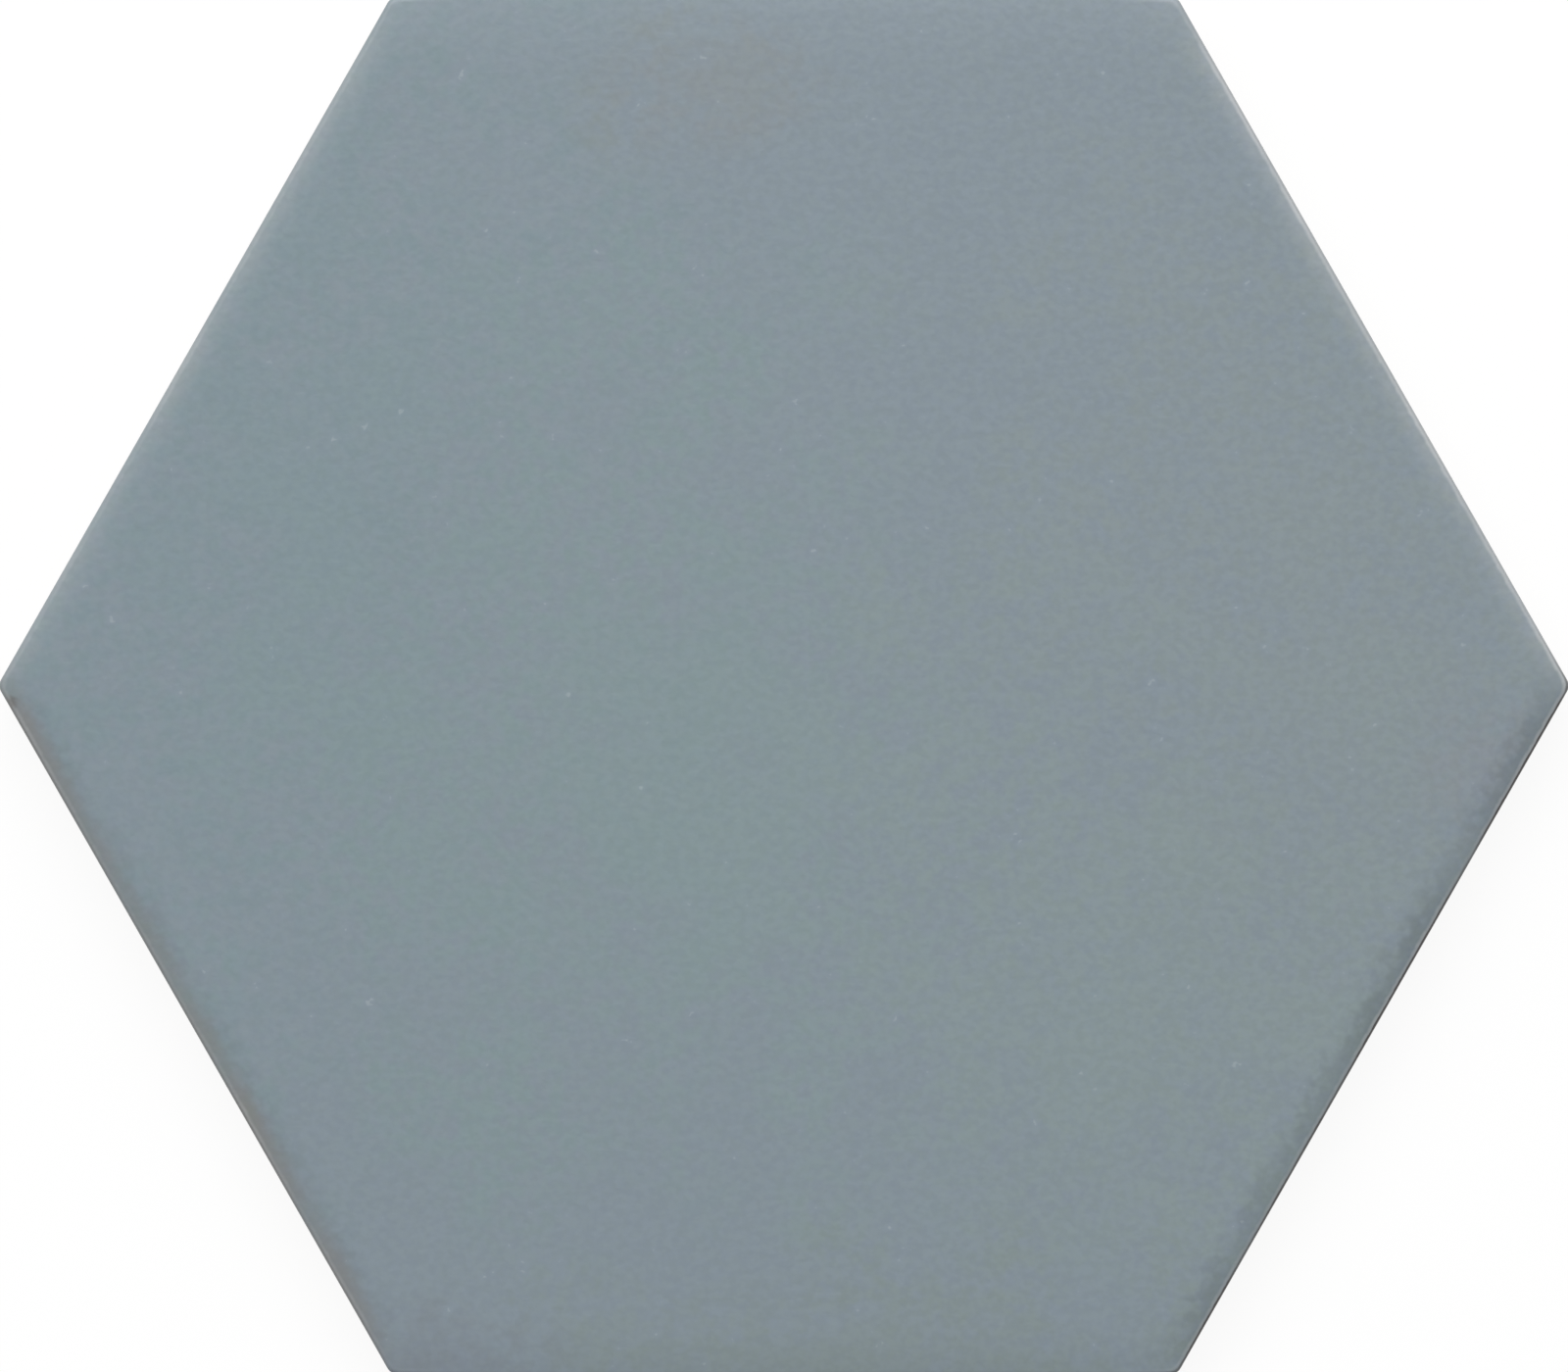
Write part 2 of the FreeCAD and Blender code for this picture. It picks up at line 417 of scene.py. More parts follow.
@dataclass(frozen=True)
class Borders:
    """The six sides of the face, which the press and the kiln left a little different. The upper
    slopes carry a painted highlight, the lower ones painted shade.

    The run is how the glaze lies once it has turned down over the outline.
    """

    # The upper sides carry a painted highlight in their glow, the lower ones painted shade in
    # their dark band and dark outline.
    upper_right: Border = Border(0.60, line=0.45, glow=0.12, bare_and_outline_shade=0.15)
    top: Border = Border(0.28, width=8.2, power=1.8, arris=0.42)
    upper_left: Border = Border(0.56, line=0.14, glow=0.055, warm=0.06)
    lower_left: Border = Border(0.60, line=0.19, painted_shade=0.17, warm=0.25, bare_and_outline_shade=0.26)
    bottom: Border = Border(0.32, width=6.5, power=2.0, arris=0.34, painted_shade=0.03)
    lower_right: Border = Border(0.58, line=0.27, painted_shade=0.275, bare_and_outline_shade=1.10)
    run: Border = Border(0.0, line=0.14, glow=0.04, warm=0.10)
    turn_width: float = 2.0
    patch_length: float = 9.0
    patch_share: float = 0.7
    turn_down: float = 0.8

    def nearest(self, plan: HexagonPlan, places: np.ndarray, names: Sequence[str]) -> np.ndarray:
        """Sizes or shares of the side that each place is nearest to, blended at the corners.

        Args:
            plan: The tile's outline.
            places: Plan positions.
            names: Which sizes or shares.

        Returns:
            One row for each name.
        """
        upper = (self.upper_right, self.top, self.upper_left)
        sides = (*upper, self.lower_left, self.bottom, self.lower_right)
        by_side = np.array([[getattr(side, name) for name in names] for side in sides])
        depths = plan.depths(places)
        nearness = np.exp(-(depths - depths.min(axis=1, keepdims=True)) / self.turn_width)
        return (nearness @ by_side / nearness.sum(axis=1, keepdims=True)).T

    def marks(self, plan: HexagonPlan, places: np.ndarray, inset: np.ndarray | float
              ) -> dict[Mark, np.ndarray]:
        """What the points near the outline tell the finishes.

        Args:
            plan: The tile's outline.
            places: Plan positions.
            inset: Their distance inside the outline, below 0 down the side.

        Returns:
            Their marks, apart from the cover.
        """
        inset = np.broadcast_to(inset, len(places)).astype(float)
        patch = 1.0 + self.patch_share * wander(places, self.patch_length, PointSeed.PATCH)
        shares = (Mark.LINE, Mark.GLOW, Mark.PAINTED_SHADE, Mark.WARM, Mark.BARE_AND_OUTLINE_SHADE)
        names = [mark.name.lower() for mark in shares]
        down = ease(inset, 0.0, -self.turn_down)
        marks = {Mark.INSET: inset}
        for mark, name, value in zip(shares, names, self.nearest(plan, places, names)):
            marks[mark] = patch * (value * (1.0 - down) + getattr(self.run, name) * down)
        return marks


@dataclass(frozen=True)
class GlazedFace:
    """The cushion-shaped face and its rounded arris, under a glaze that lies unevenly.

    The ripple rises between the two insets of ripple_start, and fades from ripple_full to
    ripple_reach further in. It grows from the left to the right over ripple_span.
    """

    plan: HexagonPlan
    borders: Borders
    level: float = 9.0
    ridge_softness: float = 0.8
    arris_steps: int = 9
    sag_depth: float = 0.03
    sag_length: float = 34.0
    swell_height: float = 0.02
    swell_inset: float = 1.8
    swell_width: float = 0.8
    swell_length: float = 22.0
    swell_least: float = 0.6
    swell_drift: float = 0.8
    ripple_depth: float = 0.012
    ripple_length: float = 2.4
    ripple_height: float = 1.4
    ripple_start: tuple[float, float] = (-0.2, 0.6)
    ripple_full: float = 0.9
    ripple_reach: float = 4.4
    ripple_left: float = 0.25
    ripple_span: tuple[float, float] = (-20.0, 70.0)
    crown_rings: int = 12
    crown_inset: float = 8.6
    edge_width: float = 4.4
    field_spacing: float = 1.3
    field_gap: float = 0.6
    covered: float = 9.0
    touch_rounds: int = 12

    def inset_of(self, places: np.ndarray) -> np.ndarray:
        """Distance inside the outline, softened across the ridges, for each place."""
        shares = np.exp(-self.plan.depths(places) / self.ridge_softness)
        return -self.ridge_softness * np.log(shares.sum(axis=1))

    def relief(self, places: np.ndarray, inset: np.ndarray) -> np.ndarray:
        """How far the glaze's surface lies below the ideal cushion.

        Its flat sags by a few hundredths of a millimetre. It swells a little inside the
        falling border, where surface tension holds the glaze back from the arris, and the
        border ripples, most of all towards the right.

        Args:
            places: Plan positions.
            inset: Their distance inside the outline.

        Returns:
            The depth at each place, never below 0.
        """
        sag = 0.5 + wander(places, self.sag_length, PointSeed.SAG)
        swell = np.exp(-(((inset - self.swell_inset) / self.swell_width) ** 2))
        drift = wander(places, self.swell_length, PointSeed.SWELL)
        swell *= self.swell_least + self.swell_drift * drift
        reach = ease(inset, self.ripple_reach, self.ripple_full) * ease(inset, *self.ripple_start)
        right = ease(places[:, 0], *self.ripple_span)
        right = self.ripple_left + (1.0 - self.ripple_left) * right
        ripple = 0.5 + wander(places, (self.ripple_length, self.ripple_height), PointSeed.RIPPLE)
        depth = self.swell_height * (1.0 - np.clip(swell, 0.0, 1.0))
        depth += self.sag_depth * np.clip(sag, 0.0, 1.0)
        return depth + self.ripple_depth * reach * right * np.clip(ripple, 0.0, 1.0)

    def cushion(self, places: np.ndarray, inset: np.ndarray) -> np.ndarray:
        """Height of the glaze's surface, apart from the arris.

        Args:
            places: Plan positions.
            inset: Their distance inside the outline.

        Returns:
            The height at each place.
        """
        drop, width, power = self.borders.nearest(self.plan, places, ("fall", "width", "power"))
        fall = drop * np.clip(1.0 - inset / width, 0.0, None) ** power
        return self.level - fall - self.relief(places, inset)

    def heights(self, places: np.ndarray, inset: float) -> np.ndarray:
        """Heights of one ring.

        Where the cushion gets as steep as a circle that is tangent to the upright side, the
        skin leaves it and follows the circle: that is the arris.

        Args:
            places: The ring's plan positions.
            inset: Its distance inside the outline.

        Returns:
            The height of each point.
        """
        sizes = ("fall", "width", "power", "arris")
        drop, width, power, radius = self.borders.nearest(self.plan, places, sizes)
        touch = np.full(len(places), math.pi / 2.0)
        for _ in range(self.touch_rounds):
            share = 1.0 - radius * (1.0 - np.cos(touch)) / width
            touch = np.arctan2(1.0, drop * power / width * share ** (power - 1.0))
        start = radius * (1.0 - np.cos(touch))
        across = 1.0 - np.minimum(inset, radius) / radius
        below = radius * (np.sin(touch) - np.sqrt(1.0 - across * across))
        softened = self.inset_of(places) - inset
        cushion = self.cushion(places, np.maximum(inset, start) + softened)
        return cushion - np.where(inset < start, below, 0.0)

    def build(self, skin: TileSkin) -> np.ndarray:
        """Adds the arris, the falling border and the flat of the face.

        Args:
            skin: The skin to add to.

        Returns:
            The ring where the arris runs into the upright side.
        """
        radius = self.borders.upper_right.arris
        turns = np.linspace(0.0, math.pi / 2.0, self.arris_steps, endpoint=False)
        arris = radius * (1.0 - np.cos(turns))
        crown = np.geomspace(radius, self.crown_inset, self.crown_rings)
        insets = np.concatenate((arris, crown))
        rings = []
        for inset in insets:
            places = self.plan.loop(inset)
            marks = {Mark.COVER: self.covered, **self.borders.marks(self.plan, places, inset)}
            rings.append(skin.add(places, self.heights(places, inset), marks))
        for inset, lower, upper in zip(insets, rings, rings[1:]):
            skin.join(lower, upper, Finish.EDGE if inset < self.edge_width else Finish.FACE)
        first_row = self.crown_inset + self.field_gap * self.field_spacing
        flat = self.plan.lattice(self.field_spacing, first_row)
        inset = self.inset_of(flat)
        marks = {Mark.COVER: self.covered, Mark.INSET: inset}
        loose = skin.add(flat, self.cushion(flat, inset), marks)
        skin.fill(rings[-1], (), loose, Finish.FACE, downwards=False)
        return rings[0]


@dataclass(frozen=True)
class PressedSide:
    """The side: upright, then leaning in to the back, with the glaze's margin part way down."""

    plan: HexagonPlan
    face: GlazedFace
    level: float = 9.0
    straight_height: float = 4.2
    lean: float = 2.0
    bevel_width: float = 0.6
    margin_height: float = 6.0
    margin_wander: float = 1.5
    margin_length: float = 26.0
    margin_frill: float = 0.45
    margin_frill_length: float = 5.0
    glaze_thickness: float = 0.12
    lip_reach: float = 0.18
    dent_depth: float = 0.05
    dent_lengths: tuple[float, float, float] = (7.0, 7.0, 3.0)
    dent_share: float = 0.4
    dent_start: float = 1.5
    upright_steps: int = 8
    leaning_steps: int = 6
    bevel_steps: int = 2

    def margin(self, places: np.ndarray) -> np.ndarray:
        """Height at which the glaze ends on the side.

        Args:
            places: Plan positions along it.

        Returns:
            The height at each place.
        """
        slow = wander(places, self.margin_length, PointSeed.MARGIN)
        quick = wander(places, self.margin_frill_length, PointSeed.MARGIN_FRILL)
        return self.margin_height + self.margin_wander * (slow + self.margin_frill * quick)

    def add_ring(self, skin: TileSkin, inset: float, heights: np.ndarray, below: np.ndarray
                 ) -> np.ndarray:
        """Adds one ring of the side.

        Args:
            skin: The skin to add to.
            inset: How far the pressed form stands inside the outline at this height.
            heights: The height of each point.
            below: How far each point is below the arris.

        Returns:
            The numbers of its points.
        """
        places = self.plan.loop(inset)
        cover = heights - self.margin(places)
        solid = np.column_stack((places, heights))
        dents = self.dent_share + wander(solid, self.dent_lengths, PointSeed.DENTS)
        dents = self.dent_depth * np.clip(dents, 0.0, 1.0)
        dents *= ease(heights, self.level - self.dent_start, self.level - self.straight_height)
        # Here it is the glaze's thickness, by which the bare clay below its margin stands back.
        bare_and_outline_shade = self.glaze_thickness * ease(cover, self.lip_reach, -self.lip_reach)
        middle = np.linalg.norm(places, axis=1, keepdims=True)
        inward = places * (1.0 - (dents + bare_and_outline_shade)[:, None] / middle)
        marks = {Mark.COVER: cover, **self.face.borders.marks(self.plan, places, -below)}
        return skin.add(inward, heights, marks)

    def profile(self, start: np.ndarray) -> Iterator[tuple[float, np.ndarray]]:
        """Goes down the side, ring by ring.

        Args:
            start: Heights of the ring that the arris ends on.

        Yields:
            How far the ring stands inside the outline, and the height of each of its points.
        """
        waist = self.level - self.straight_height
        slope = math.tan(math.radians(self.lean))
        foot = (waist - self.bevel_width) * slope
        for share in np.linspace(0.0, 1.0, self.upright_steps + 1)[1:]:
            yield 0.0, start + share * (waist - start)
        for height in np.linspace(waist, self.bevel_width, self.leaning_steps + 1)[1:]:
            yield (waist - height) * slope, np.full(len(start), height)
        for share in np.linspace(0.0, 1.0, self.bevel_steps + 1)[1:]:
            height = self.bevel_width * (1.0 - share)
            yield foot + share * self.bevel_width, np.full(len(start), height)

    def build(self, skin: TileSkin, top: np.ndarray) -> np.ndarray:
        """Adds the side below the arris.

        Args:
            skin: The skin to add to.
            top: The ring that the arris ends on.

        Returns:
            The ring that the side ends on, in the back plane.
        """
        start = np.array([skin.points[number][2] for number in top])
        rings = [top]
        for inset, heights in self.profile(start):
            rings.append(self.add_ring(skin, inset, heights, start - heights))
        for number, (upper, lower) in enumerate(zip(rings, rings[1:])):
            glazed = number < self.upright_steps
            skin.join(lower, upper, Finish.RUN if glazed else Finish.SIDE)
        return rings[-1]


@dataclass(frozen=True)
class KeyedBack:
    """The back: a plain rim and a honeycomb of shallow keys with rounded lips.

    The lip bends through one more ring, and so does the foot. The two bends say where, inwards
    and along the wall, in parts of the lip's width. The floor starts at foot_end.
    """

    plan: HexagonPlan
    key_pitch: float = 14.4
    key_rib: float = 2.8
    key_depth: float = 0.7
    key_lean: float = 20.0
    key_rounding: float = 0.5
    key_opening: float = 0.3
    lip_width: float = 0.22
    lip_bend: tuple[float, float] = (-0.25, 0.2)
    foot_bend: tuple[float, float] = (0.4, 0.2)
    foot_end: float = 1.6
    rim_width: float = 4.5
    rib_spacing: float = 2.4
    rib_clearance: float = 0.3
    floor_spacing: float = 2.6
    floor_share: float = 0.7
    dent_depth: float = 0.04
    dent_length: float = 6.0
    dent_share: float = 0.4
    side_steps: int = 3
    corner_steps: int = 2

    @property
    def turns(self) -> np.ndarray:
        """Angles of a key's six corners, with one on +Y."""
        return np.radians(30.0 + 60.0 * np.arange(6))

    @property
    def mouth(self) -> float:
        """Distance of a key's mouth from the key's middle, square to its sides."""
        return (self.key_pitch - self.key_rib) / 2.0

    def key_loop(self, inset: float) -> np.ndarray:
        """A rounded hexagon beside a key's mouth, with a point on +Y.

        Args:
            inset: Distance inside the mouth.

        Returns:
            Its points, anticlockwise.
        """
        reach = (self.mouth - inset) * 2.0 / math.sqrt(3.0)
        radius = self.key_rounding + self.key_opening * max(inset, 0.0)
        spread = math.radians(30.0) * np.linspace(-1.0, 1.0, self.corner_steps + 1)
        arcs = []
        for turn in self.turns:
            way = np.array((math.cos(turn), math.sin(turn)))
            centre = way * (reach - radius / math.cos(math.radians(30.0)))
            angles = turn + spread
            arcs.append(arc(centre, radius, angles))
        return join_arcs(arcs, self.side_steps)

    def key_middles(self) -> np.ndarray:
        """Finds the keys that fit inside the plain rim, on a grid centred on the tile.

        Returns:
            The middle of each key.
        """
        corners = arc(np.zeros(2), self.mouth * 2.0 / math.sqrt(3.0), self.turns)
        grid = self.plan.lattice(self.key_pitch, self.rim_width)
        fits = [self.plan.depths(middle + corners).min() >= self.rim_width for middle in grid]
        return grid[np.array(fits)]

    def profile(self) -> list[tuple[float, float]]:
        """Goes from a key's rounded lip to its floor.

        Returns:
            Inset and height of each ring.
        """
        lean = math.tan(math.radians(self.key_lean))
        lip, foot = self.lip_width, self.key_depth - self.lip_width
        return [
            (-lip, 0.0),
            (self.lip_bend[0] * lip, self.lip_bend[1] * lip),
            (lip * lean, lip),
            (foot * lean, foot),
            (foot * lean + self.foot_bend[0] * lip, self.key_depth - self.foot_bend[1] * lip),
            (foot * lean + self.foot_end * lip, self.key_depth),
        ]

    def dents(self, places: np.ndarray) -> np.ndarray:
        """How far the pressed clay stands back from its ideal form at each place."""
        dents = self.dent_share + wander(places, self.dent_length, PointSeed.BACK)
        return self.dent_depth * np.clip(dents, 0.0, 1.0)

    def build(self, skin: TileSkin, rim: np.ndarray) -> int:
        """Adds the rim, the ribs and the keys.

        Args:
            skin: The skin to add to.
            rim: The ring that the side ends on.

        Returns:
            The number of keys.
        """
        middles = self.key_middles()
        inner = self.key_loop(self.profile()[-1][0])
        floor = self.plan.lattice(self.floor_spacing, 0.0)
        reach = self.floor_share * np.linalg.norm(inner[0])
        floor = floor[np.linalg.norm(floor, axis=1) < reach]
        mouths = []
        for middle in middles:
            rings = []
            for inset, height in self.profile():
                places = middle + self.key_loop(inset)
                rings.append(skin.add(places, height + self.dents(places)))
            for upper, lower in zip(rings[1:], rings):
                skin.join(upper, lower, Finish.BACK)
            places = middle + floor
            loose = skin.add(places, self.key_depth + self.dents(places))
            skin.fill(rings[-1], (), loose, Finish.BACK, downwards=True)
            mouths.append(rings[0])
        grid = self.plan.lattice(self.rib_spacing, self.rib_spacing)
        gaps = np.linalg.norm(grid[:, None, :] - middles[None, :, :], axis=2).min(axis=1)
        point = (self.mouth + self.lip_width) * 2.0 / math.sqrt(3.0)
        grid = grid[gaps > point + self.rib_clearance]
        loose = skin.add(grid, self.dents(grid))
        skin.fill(rim, mouths, loose, Finish.BACK, downwards=True)
        return len(middles)


def add_node(tree: Tree, kind: str, settings: Mapping[str, str] | None = None,
             links: Mapping[str, Value] | None = None, result: str = "") -> Socket | None:
    """Adds a node with its settings and links.

    Args:
        tree: The tree to add it to.
        kind: The shader node's type name, without the ShaderNode that all of them begin with.
        settings: Values of the node's own properties.
        links: For each input, by its name or identifier, a value or an output to link to it.
        result: The name of the output to give back, or nothing for the first one in use.

    Returns:
        That output, or None for a node that has none.
    """
    node = tree.nodes.new("ShaderNode" + kind)
    for name, value in (settings or {}).items():
        setattr(node, name, value)
    for name, value in (links or {}).items():
        entry = next(
            socket for socket in node.inputs
            if socket.enabled and name in (socket.identifier, socket.name)
        )
        if isinstance(value, Socket):
            tree.links.new(value, entry)
        else:
            entry.default_value = value
    outputs = (socket for socket in node.outputs if socket.enabled)
    return next((socket for socket in outputs if result in ("", socket.name)), None)


def new_material(name: str) -> bpy.types.Material:
    """Makes a material with an empty node tree.

    Args:
        name: Its name.

    Returns:
        The material.
    """
    material = bpy.data.materials.new(name)
    material.use_nodes = True
    material.node_tree.nodes.clear()
    return material


def place_in_mm(tree: Tree) -> Socket:
    """The place on the tile, in mm."""
    place = add_node(tree, "TexCoord", result="Object")
    return add_node(tree, "VectorMath", {"operation": "SCALE"},
                    {"Vector": place, "Scale": 1.0 / MM})


def mottle(tree: Tree, place: Socket, lengths: Sequence[float] | float, seed: ShaderSeed,
           high: float = 1.0, low: float = 0.0, detail: float = 2.0) -> Socket:
    """Cloudy unevenness from one value to another.

    Args:
        tree: The tree to add it to.
        place: Where it is read, in mm.
        lengths: Distance between two clouds, or one for each axis, in mm.
        seed: Which pattern. It moves it along SEED_WAY, so that no two match.
        high: Its value in a cloud.
        low: Its value between clouds.
        detail: How many finer layers it has.

    Returns:
        The value.
    """
    scaled = add_node(tree, "VectorMath", {"operation": "MULTIPLY_ADD"},
                      {"Vector": place, "Vector_001": 1.0 / np.broadcast_to(lengths, 3),
                       "Vector_002": [seed * way for way in SEED_WAY]})
    cloud = add_node(tree, "TexNoise", {},
                     {"Vector": scaled, "Scale": 1.0, "Detail": detail,
                      "Roughness": NOISE_ROUGHNESS}, "Fac")
    start, end = NOISE_SPAN
    return add_node(tree, "MapRange", {"interpolation_type": "SMOOTHSTEP"},
                    {"Value": cloud, "From Min": start, "From Max": end, "To Min": low,
                     "To Max": high})


def coated(tree: Tree, tone: Value, coats: Sequence[tuple[Value, Value]]) -> Value:
    """Lays colours over a ground, one after another.

    Args:
        tree: The tree to add it to.
        tone: The ground's colour.
        coats: The share and the colour of each coat.

    Returns:
        The colour that they make together.
    """
    for share, colour in coats:
        tone = add_node(tree, "Mix", {"data_type": "RGBA"},
                        {"Factor": share, "A": tone, "B": colour}, "Result")
    return tone


@dataclass(frozen=True)
class Clay:
    """Fired stoneware clay: warm pale beige, with fine grog, faint clouds and iron specks."""

    tone: str = "#cbbca8"
    grog: str = "#b3a08a"
    fired: str = "#d8ccba"
    iron: str = "#7d5f47"
    grog_length: float = 0.45
    grog_share: float = 0.7
    fired_length: float = 14.0
    fired_share: float = 0.8
    iron_pitch: float = 5.0
    iron_radius: float = 0.22
    iron_core: float = 0.4
    iron_share: float = 0.65

    def colour(self, tree: Tree) -> Value:
        """Draws the clay's colour.

        Args:
            tree: The tree to add it to.

        Returns:
            The colour.
        """
        place = place_in_mm(tree)
        clouds = mottle(tree, place, self.fired_length, ShaderSeed.FIRED, self.fired_share)
        grains = mottle(tree, place, self.grog_length, ShaderSeed.GROG, self.grog_share)
        cells = add_node(tree, "TexVoronoi", {},
                         {"Vector": place, "Scale": 1.0 / self.iron_pitch}, "Distance")
        edge = self.iron_radius / self.iron_pitch
        specks = add_node(tree, "MapRange", {},
                          {"Value": cells, "From Min": edge, "From Max": self.iron_core * edge,
                           "To Min": 0.0, "To Max": self.iron_share})
        return coated(tree, linear(self.tone), (
            (clouds, linear(self.fired)),
            (grains, linear(self.grog)),
            (specks, linear(self.iron)),
        ))


@dataclass(frozen=True)
class Biscuit:
    """Bare fired clay: matt and slightly gritty, with the drag of the press on its side.

    A wash, if it has one, is the chalky kiln wash that lies on what touched the kiln shelf.
    """

    name: str
    clay: Clay
    wash: float = 0.0
    chalk: str = "#e2ddd3"
    scuff: str = "#a89f94"
    scuff_length: float = 9.0
    scuff_share: float = 0.22
    roughness: float = 0.88
    ior: float = 1.5
    grit_length: float = 0.35
    grit_height: float = 0.012
    drag_width: float = 0.7
    drag_length: float = 5.0
    drag_height: float = 0.008
    wash_length: float = 5.0
    wash_thin: float = 0.1
    wash_reach: float = 0.16
    wash_above: float = 0.15

    def build(self) -> bpy.types.Material:
        """Makes the material.

        Returns:
            The material, with the wash if it has one.
        """
        material = new_material(self.name)
        tree = material.node_tree
        place = place_in_mm(tree)
        scuffs = mottle(tree, place, self.scuff_length, ShaderSeed.SCUFF, self.scuff_share)
        coats = [(scuffs, linear(self.scuff))]
        if self.wash:
            height = add_node(tree, "SeparateXYZ", {}, {"Vector": place}, "Z")
            low = add_node(tree, "MapRange", {"interpolation_type": "SMOOTHSTEP"},
                           {"Value": height, "From Min": self.wash_reach, "From Max": 0.0,
                            "To Min": self.wash_above, "To Max": 1.0})
            patches = mottle(tree, place, self.wash_length, ShaderSeed.WASH, self.wash,
                             self.wash_thin)
            share = add_node(tree, "Math", {"operation": "MULTIPLY"},
                             {"Value": low, "Value_001": patches})
            coats.append((share, linear(self.chalk)))
        tone = coated(tree, self.clay.colour(tree), coats)
        grit = mottle(tree, place, self.grit_length, ShaderSeed.GRIT)
        drag = mottle(tree, place, (self.drag_width, self.drag_width, self.drag_length),
                      ShaderSeed.DRAG)
        rough = add_node(tree, "Bump", {},
                         {"Strength": 1.0, "Distance": self.grit_height * MM, "Height": grit})
        rough = add_node(tree, "Bump", {},
                         {"Strength": 1.0, "Distance": self.drag_height * MM, "Height": drag,
                          "Normal": rough})
        shader = add_node(tree, "BsdfPrincipled", {},
                          {"Base Color": tone, "Roughness": self.roughness, "IOR": self.ior,
                           "Normal": rough})
        add_node(tree, "OutputMaterial", {}, {"Surface": shader})
        return material


@dataclass(frozen=True)
class TintPool:
    """A wide, faint drift of the glaze's colour, as fire and thickness leave it.

    It fades out between two parts of its reach, the inner and the outer one.
    """

    tint: str
    middle: tuple[float, float]
    reach: tuple[float, float]
    strength: float
    inner: float = 0.35
    outer: float = 1.15

    def share(self, places: np.ndarray, edge: np.ndarray) -> np.ndarray:
        """How much of the tint there is at each place.

        Args:
            places: Plan positions.
            edge: How far its edge is drawn in there, as a part of its reach.

        Returns:
            The shares, from 0 to its strength.
        """
        distance = np.linalg.norm((places - self.middle) / np.array(self.reach), axis=1)
        return self.strength * ease(distance + edge, self.outer, self.inner)


class Drift(Enum):
    """The glaze's colour at each point of the skin, where its clouds are thin and dense."""

    THIN = "drift_thin"
    DENSE = "drift_dense"


@dataclass(frozen=True)
class EdgeRun:
    """One band near the outline, faded out by a ragged line further in. Some bands show how the
    glaze lies there, and some are painted highlight and painted shade.

    Its full and its last inset and the depth of its frill are in mm.
    """

    mark: Mark
    tint: str
    full: float
    last: float
    frill: float


